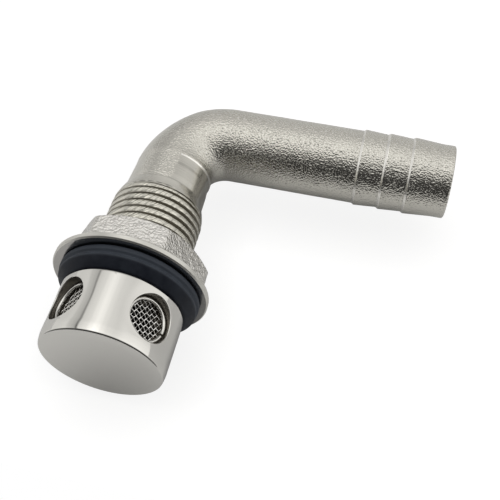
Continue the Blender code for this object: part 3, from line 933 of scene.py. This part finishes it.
def make_head():
    points, faces, numbers = [], [], []

    def add_rings(rings, slots):
        """Adds an open skin through rings, with the material number of each stretch."""
        sides = len(rings[0])
        first = len(points)
        for ring in rings:
            points.extend(ring)
        for row in range(len(rings) - 1):
            for k in range(sides):
                after = (k + 1) % sides
                here = first + row * sides
                faces.append((here + k, here + after, here + sides + after, here + sides + k))
                numbers.append(slots[row])

    wall_and_port = len(WALL_PARTS) + 2
    slots = [POLISHED] * (PATCH_STEPS + EDGE_STEPS) + [DRILLED] * wall_and_port
    slots += [INSIDE] * (INNER_STEPS + 1)
    for number in range(WINDOW_COUNT):
        place = window_frame(number)
        rings = [[tuple(place @ Vector(p)) for p in ring] for ring in window_rings()]
        add_rings(rings, slots)

    round_it = PATCH_ROWS * WINDOW_COUNT
    start = WINDOW_TURN - math.pi / 4
    face = face_outline()
    add_rings(turned_rings(face, round_it, start), [POLISHED] * len(face))

    rim = [
        (HEAD_RADIUS, RIM_Y - RIM_BREAK),
        (HEAD_RADIUS - RIM_ROUND, RIM_Y - RIM_ROUND),
        (HEAD_RADIUS - RIM_BREAK, RIM_Y),
        (SOCKET_RADIUS, RIM_Y),
        (SOCKET_RADIUS, CHAMBER_TOP_Y),
        (CHAMBER_RADIUS, CHAMBER_TOP_Y),
    ]
    slots = [POLISHED, POLISHED, DRILLED, INSIDE, INSIDE]
    add_rings(turned_rings(rim, round_it, start), slots)
    floor_y = FACE_Y + FACE_WALL
    floor = [(CHAMBER_RADIUS * part, floor_y) for part in (1.0, 0.6, 0.3, 0.0)]
    add_rings(turned_rings(floor, round_it, start), [INSIDE] * len(floor))

    mesh = bpy.data.meshes.new("head")
    mesh.from_pydata(points, [], faces)
    mesh.polygons.foreach_set("material_index", numbers)
    materials = [polished_steel(), drilled_shade_steel(), cored_shade_metal]
    head = finish_mesh("head", mesh, materials, weld=True)
    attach(head, "vent")
    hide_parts("vent_head")


make_head()

# The screens are discs punched from plain-woven stainless cloth, all from one piece, so the weave
# lies the same way in each window. Nine crimped wires cross nine.
WIRE_PITCH = 0.91 * MM
WIRE_RADIUS = 0.1 * MM
WIRE_SIDES = 10
WIRE_STEPS = 8
EDGE_SHARE = 0.3
WEAVE_TURN = math.radians(-28.3)
SCREEN_RADIUS = 4.55 * MM
SCREEN_DISTANCE = 10.05 * MM
WIRE_COLOUR = (0.90, 0.89, 0.87)


def bar(points, faces, centres, radius, sides):
    """Adds a round bar through centres, each a place and the two directions across the bar."""
    first = len(points)
    last = len(centres) - 1
    for place, side, normal in centres:
        for angle in angles(sides):
            offset = side * math.cos(angle) + normal * math.sin(angle)
            points.append(tuple(place + radius * offset))
    for row in range(last):
        for k in range(sides):
            after = (k + 1) % sides
            here = first + row * sides
            faces.append((here + k, here + after, here + sides + after, here + sides + k))
    faces.append(tuple(first + k for k in range(sides)))
    faces.append(tuple(first + last * sides + k for k in range(sides)))


def screen_mesh():
    points, faces = [], []
    most = math.floor(SCREEN_RADIUS / WIRE_PITCH - EDGE_SHARE)
    for along_x in (True, False):
        along = Vector((1, 0, 0)) if along_x else Vector((0, 1, 0))
        side = Vector((0, 1, 0)) if along_x else Vector((1, 0, 0))
        lift = Vector((0, 0, 1))
        for row in range(-most, most + 1):
            reach = math.sqrt(SCREEN_RADIUS**2 - (row * WIRE_PITCH) ** 2)
            count = max(int(2 * reach / WIRE_PITCH * WIRE_STEPS), WIRE_STEPS)
            centres = []
            for i in range(count + 1):
                place = -reach + 2 * reach * i / count
                phase = math.pi * (place / WIRE_PITCH + row)
                height = WIRE_RADIUS * math.cos(phase) * (1 if along_x else -1)
                slope = -WIRE_RADIUS * math.pi / WIRE_PITCH * math.sin(phase)
                slope *= 1 if along_x else -1
                normal = (lift - slope * along).normalized()
                centre = along * place + side * row * WIRE_PITCH + lift * height
                centres.append((centre, side, normal))
            bar(points, faces, centres, WIRE_RADIUS, WIRE_SIDES)
    mesh = bpy.data.meshes.new("woven_cloth")
    mesh.from_pydata(points, [], faces)
    return mesh


def wire_steel():
    """Bright drawn wire."""
    material, tree, shader = steel("bright_wire", WIRE_COLOUR)
    cover(tree, shader, grained(tree, 0.2 * MM, smoothest=0.10, roughest=0.20, relief=0.008 * MM))
    return material


def make_screens():
    material = wire_steel()
    for number in range(WINDOW_COUNT):
        name = f"screen_{number + 1}"
        screen = finish_mesh(name, screen_mesh(), [material])
        lay = Matrix.Translation((0, 0, SCREEN_DISTANCE)) @ Matrix.Rotation(WEAVE_TURN, 4, "Z")
        screen.matrix_world = window_frame(number) @ lay
        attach(screen, "vent")
        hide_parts(f"woven_screen_{number + 1}")


make_screens()

# A split ring of spring wire is squeezed into each window and holds its screen on the step.
RING_WIRE_RADIUS = 0.38 * MM
RING_PLAY = 0.13 * MM
RING_RADIUS = WINDOW_RADIUS - RING_PLAY - RING_WIRE_RADIUS
RING_DISTANCE = 10.95 * MM
RING_SPLIT = math.radians(7.0)
RING_SPLIT_TURN = math.radians(166.0)
RING_STEPS = 120
RING_SIDES = 20
RING_COLOUR = (0.70, 0.69, 0.665)


def spring_steel():
    """Spring wire, bright and a little uneven from the drawing."""
    material, tree, shader = steel("spring_wire", RING_COLOUR)
    cover(tree, shader, grained(tree, 0.3 * MM, smoothest=0.14, roughest=0.28, relief=0.01 * MM))
    return material


def make_snap_rings():
    material = spring_steel()
    lift = Vector((0, 0, 1))
    centres = []
    for i in range(RING_STEPS + 1):
        turn = RING_SPLIT / 2 + (math.tau - RING_SPLIT) * i / RING_STEPS
        outward = Vector((math.cos(turn), math.sin(turn), 0))
        centres.append((outward * RING_RADIUS, outward, lift))
    for number in range(WINDOW_COUNT):
        points, faces = [], []
        bar(points, faces, centres, RING_WIRE_RADIUS, RING_SIDES)
        mesh = bpy.data.meshes.new("spring_ring")
        mesh.from_pydata(points, [], faces)
        ring = finish_mesh(f"ring_{number + 1}", mesh, [material], sharp_degrees=60.0)
        lay = Matrix.Translation((0, 0, RING_DISTANCE)) @ Matrix.Rotation(RING_SPLIT_TURN, 4, "Z")
        ring.matrix_world = window_frame(number) @ lay
        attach(ring, "vent")
        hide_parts(f"snap_ring_{number + 1}")


make_snap_rings()

# The gasket is moulded rubber with a broad ridge against the hull, a groove and a lip that slopes
# in to the head's rim. It sits loose on the shank, slipped a little to one side, and is squeezed
# when the nut is tightened.
GASKET_SIDES = 160
GASKET_HOLE = 10.6 * MM
GASKET_DEPTH = 4.2 * MM
GASKET_SLIP = 0.2 * MM
RIDGE_RADIUS = 15.4 * MM
RIDGE_ROUND = 0.3 * MM
RIDGE_STEPS = 8
# Radius and place along the shank in millimetres, from the ridge down to the lip's edge
GASKET_SIDE = [
    (15.4, -1.0),
    (15.3, -1.15),
    (14.95, -1.35),
    (14.9, -1.55),
    (14.95, -1.75),
    (15.12, -1.9),
    (15.17, -2.1),
    (15.08, -2.35),
    (14.85, -2.6),
    (13.45, -4.05),
    (13.2, -4.2),
]
# Where the painted sheen on the ridge fades out towards the lip
SHEEN_FROM_Y = -2.5 * MM
SHEEN_TO_Y = -2.1 * MM
RUBBER_DARK = (0.0, 0.001, 0.007)
RUBBER_PAINTED_SHEEN = (0.053, 0.064, 0.083)
RUBBER_SHEEN = 0.28


def black_rubber():
    """Moulded rubber with a dull bloom and fine mould texture, and a painted sheen on the ridge.
    """
    material = bpy.data.materials.new("black_rubber")
    material.use_nodes = True
    tree = material.node_tree
    shader = tree.nodes["Principled BSDF"]
    shader.inputs["Specular IOR Level"].default_value = RUBBER_SHEEN
    bloom = grained(tree, 2.5 * MM, detail=3.0, smoothest=0.5, roughest=0.64)
    place = add_node(tree, "ShaderNodeTexCoord").outputs["Object"]
    along = add_node(tree, "ShaderNodeSeparateXYZ", {0: place}).outputs["Y"]
    # The ridge is coloured lighter than the lip: painted sheen.
    ridge = spread(tree, along, 0.0, 1.0, start=SHEEN_FROM_Y, end=SHEEN_TO_Y)
    bloom_and_sheen = math_node(tree, "MULTIPLY", math_node(tree, "ADD", bloom["Mask"], ridge), 0.5)
    colour = tinted(tree, bloom_and_sheen, RUBBER_DARK, RUBBER_PAINTED_SHEEN)
    tree.links.new(colour, shader.inputs["Base Color"])
    cover(tree, shader, bloom, relief=grained(tree, 0.3 * MM, detail=3.0, relief=0.015 * MM))
    return material


def make_gasket():
    outline = [(GASKET_HOLE, 0.0)]
    for i in range(RIDGE_STEPS + 1):
        turn = math.pi / 2 * (1 - i / RIDGE_STEPS)
        radius = RIDGE_RADIUS - RIDGE_ROUND + RIDGE_ROUND * math.cos(turn)
        outline.append((radius, RIDGE_ROUND * math.sin(turn) - RIDGE_ROUND))
    outline += [(radius * MM, y * MM) for radius, y in GASKET_SIDE]
    outline.append((GASKET_HOLE, -GASKET_DEPTH))
    rings = turned_rings(outline, GASKET_SIDES, 0.0)
    for number in range(1, len(rings) - 1):
        rings[number] = [(x + GASKET_SLIP, y, z) for x, y, z in rings[number]]
    mesh = loft("gasket", rings, [0] * len(rings))
    gasket = finish_mesh("gasket", mesh, [black_rubber()], sharp_degrees=60.0)
    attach(gasket, "vent")
    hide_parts("hull_gasket")


make_gasket()

# The nut is a hexagon and a round flange cast in one. The hexagon keeps its sandy cast skin, and
# the flange's rim and the end face are turned.
NUT_SIDES = 288
NUT_SEAT_Y = 0.3 * MM
NUT_HEIGHT = 8.7 * MM
NUT_HALF_FLATS = 13.5 * MM
NUT_END_RADIUS = 13.3 * MM
NUT_CHAMFER = 1.5 * MM
NUT_BORE = 10.6 * MM
FLANGE_RADIUS = 17.15 * MM
FLANGE_RIM = 1.5 * MM
FLANGE_BREAK = 0.3 * MM
FLANGE_CROWN = 2.9 * MM
FLANGE_CROWN_RADIUS = 14.6 * MM
FILLET = 0.5 * MM
CORNER_ROUND = 0.35 * MM
HEX_WAVE = 0.06 * MM
HEX_WAVE_LENGTH = 1.5 * MM
CHAMFER_BLEND = 0.12 * MM
BORE_MOUTH = 0.5 * MM
NUT_STEP = 0.1 * MM
NUT_TOP_DROP = 0.04 * MM
TURNED_HEIGHT = FLANGE_CROWN - 0.2 * MM
SANDY, SATIN, FACED = range(3)
SUNK_COLOUR = (0.60, 0.585, 0.56)
PROUD_COLOUR = (0.72, 0.705, 0.68)
FLANGE_COLOUR = (0.67, 0.66, 0.625)
SEAT_SHADE_COLOUR = (0.46, 0.45, 0.44)


def soft_least(first, second, blend):
    """The lesser of two lengths, eased over this much where they cross."""
    near = max(blend - abs(first - second), 0.0) / blend
    return min(first, second) - near * near * blend / 4


def hexagon_radius(angle):
    from_flat = (angle % (math.pi / 3)) - math.pi / 6
    corner = NUT_HALF_FLATS / math.cos(math.pi / 6) - CORNER_ROUND / 2
    return soft_least(NUT_HALF_FLATS / math.cos(from_flat), corner, CORNER_ROUND)


def flange_radius(height):
    """The flange's profile, with the fillet where its crown meets the hexagon."""
    points = [
        (0.0, FLANGE_RADIUS - FLANGE_BREAK),
        (FLANGE_BREAK, FLANGE_RADIUS),
        (FLANGE_RIM - FLANGE_BREAK, FLANGE_RADIUS),
        (FLANGE_RIM, FLANGE_RADIUS - FLANGE_BREAK),
        (FLANGE_CROWN, FLANGE_CROWN_RADIUS),
        (FLANGE_CROWN + 0.12 * FILLET, NUT_HALF_FLATS + FILLET),
        (FLANGE_CROWN + 0.4 * FILLET, NUT_HALF_FLATS + 0.4 * FILLET),
        (FLANGE_CROWN + FILLET, NUT_HALF_FLATS),
    ]
    for (h0, r0), (h1, r1) in zip(points, points[1:]):
        if height <= h1:
            return r0 + (r1 - r0) * (height - h0) / (h1 - h0)
    return 0.0


def nut_heights():
    heights = [0.0, 0.1 * MM, 0.2 * MM, FLANGE_BREAK, 0.75 * MM, 1.2 * MM, 1.35 * MM, FLANGE_RIM]
    for i in range(1, 9):
        heights.append(FLANGE_RIM + (FLANGE_CROWN - FLANGE_RIM) * i / 8)
    for part in (0.12, 0.4, 0.7, 1.0):
        heights.append(FLANGE_CROWN + FILLET * part)
    while heights[-1] < NUT_HEIGHT - 1.5 * NUT_STEP:
        heights.append(heights[-1] + NUT_STEP)
    heights.append(NUT_HEIGHT - NUT_TOP_DROP)
    return heights


def nut_steel():
    """Sand-cast stainless: coarse grains, some standing bright, some sunk dark."""
    material, tree, shader = steel("cast_stainless", SUNK_COLOUR)
    sand = grained(
        tree,
        0.52 * MM,
        detail=1.2,
        fine_share=0.6,
        smoothest=0.12,
        roughest=0.22,
        relief=0.23 * MM,
    )
    cover(tree, shader, sand)
    colour = tinted(tree, sand["Mask"], SUNK_COLOUR, PROUD_COLOUR)
    tree.links.new(colour, shader.inputs["Base Color"])
    return material


def flange_steel():
    """Turned smooth, but with a satin look."""
    material, tree, shader = steel("turned_flange", FLANGE_COLOUR)
    relief = 0.02 * MM
    satin = grained(tree, 0.5 * MM, detail=3.0, smoothest=0.28, roughest=0.40, relief=relief)
    cover(tree, shader, satin)
    return material


def seat_shade_steel():
    """The flange's flat seat, faced smooth so that it beds on the hull, dark with painted shade.
    """
    material, tree, shader = steel("faced_seat_painted_shade", SEAT_SHADE_COLOUR)
    relief = 0.004 * MM
    facing = grained(tree, 0.6 * MM, detail=1.0, smoothest=0.12, roughest=0.20, relief=relief)
    cover(tree, shader, facing)
    return material


def make_nut():
    chamfer_slope = (NUT_HALF_FLATS / math.cos(math.pi / 6) - NUT_END_RADIUS) / NUT_CHAMFER
    outline, slots = [], []
    for height in nut_heights():
        ring = []
        y = NUT_SEAT_Y + height
        cone = NUT_END_RADIUS + (NUT_HEIGHT - height) * chamfer_slope
        for angle in angles(NUT_SIDES):
            flat = soft_least(hexagon_radius(angle), cone, CHAMFER_BLEND)
            spot = Vector((flat * math.cos(angle), y, flat * math.sin(angle)))
            flat += HEX_WAVE * noise.noise(spot / HEX_WAVE_LENGTH)
            radius = max(flat, flange_radius(height))
            ring.append((radius * math.cos(angle), y, radius * math.sin(angle)))
        outline.append(ring)
        slots.append(SANDY if height > TURNED_HEIGHT else SATIN)
    end_y = NUT_SEAT_Y + NUT_HEIGHT
    inside = [
        (NUT_END_RADIUS - 0.05 * MM, end_y),
        (NUT_BORE + BORE_MOUTH, end_y),
        (NUT_BORE, end_y - BORE_MOUTH),
        (NUT_BORE, NUT_SEAT_Y + BORE_MOUTH),
        (NUT_BORE + BORE_MOUTH, NUT_SEAT_Y),
    ]
    rings = outline + turned_rings(inside, NUT_SIDES, 0.0)
    slots += [SATIN] * (len(inside) - 1) + [FACED]
    mesh = loft("nut", rings, slots)
    nut = finish_mesh("nut", mesh, [nut_steel(), flange_steel(), seat_shade_steel()])
    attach(nut, "nut")
    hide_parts("flange_nut")


make_nut()
